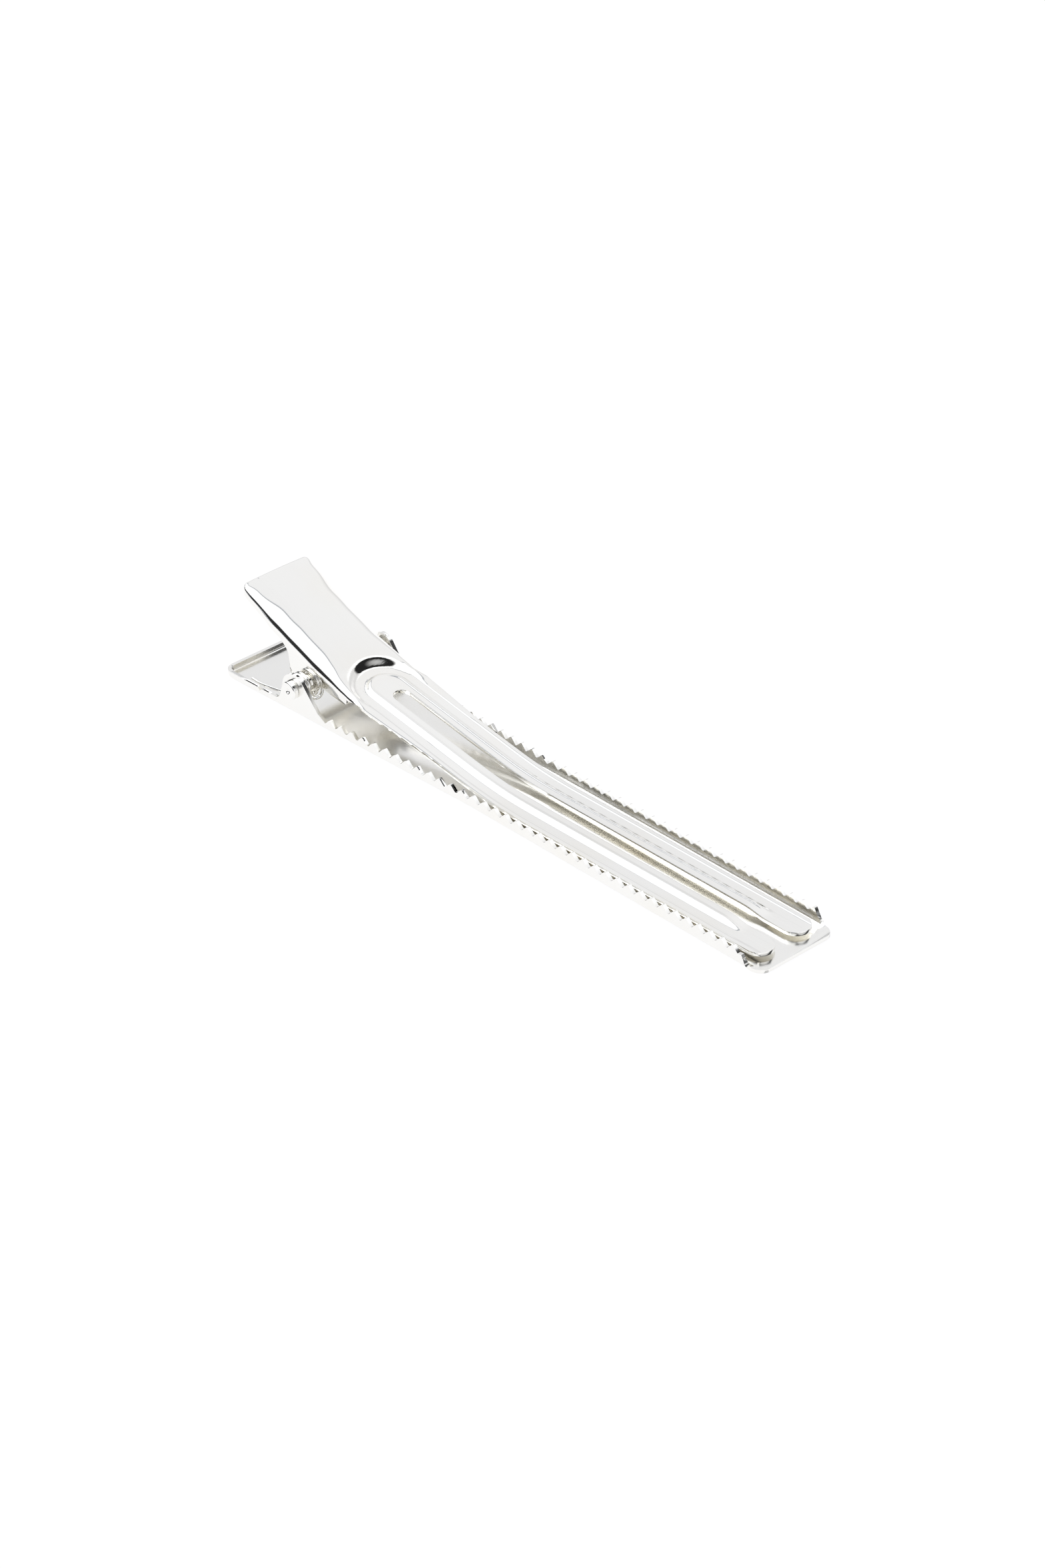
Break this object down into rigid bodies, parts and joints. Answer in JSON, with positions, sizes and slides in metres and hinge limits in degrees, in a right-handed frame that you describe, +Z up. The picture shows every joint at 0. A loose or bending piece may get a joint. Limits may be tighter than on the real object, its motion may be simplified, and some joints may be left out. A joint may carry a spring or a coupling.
{
  "type": "sectioning clip",
  "caption": "Long sprung hair clip of plated sheet steel: toothed lower jaw, two-pronged upper jaw with a thumb plate, torsion spring and hinge rivet.",
  "frame": {"origin": "on the surface that the lower jaw rests on, under the middle of the clip's bounding box", "axes": "+X along the clip from the thumb end to the tip, +Y across the clip, +Z up from the lower jaw to the upper jaw"},
  "size_m": [0.097, 0.0176, 0.0135],
  "materials": {
    "jaw_plating": "bright silver plating, mirror polished",
    "pin_plating": "bright silver plating on a turned rivet",
    "spring_wire": "bright plated spring wire, slightly warm"
  },
  "bodies": {
    "lower": {"lower_jaw": "jaw_plating", "pivot_pin": "pin_plating", "torsion_spring": "spring_wire"},
    "upper": {"upper_jaw": "jaw_plating"}
  },
  "joints": [
    {"name": "jaw_hinge", "type": "hinge", "parent": "lower", "child": "upper", "pos_m": [-0.035, 0, 0.0038], "axis": [0, -1, 0], "range_deg": [0, 36], "stiffness_Nm_per_rad": 0.08, "springref_deg": -34.38, "deforming": ["torsion_spring"]}
  ]
}
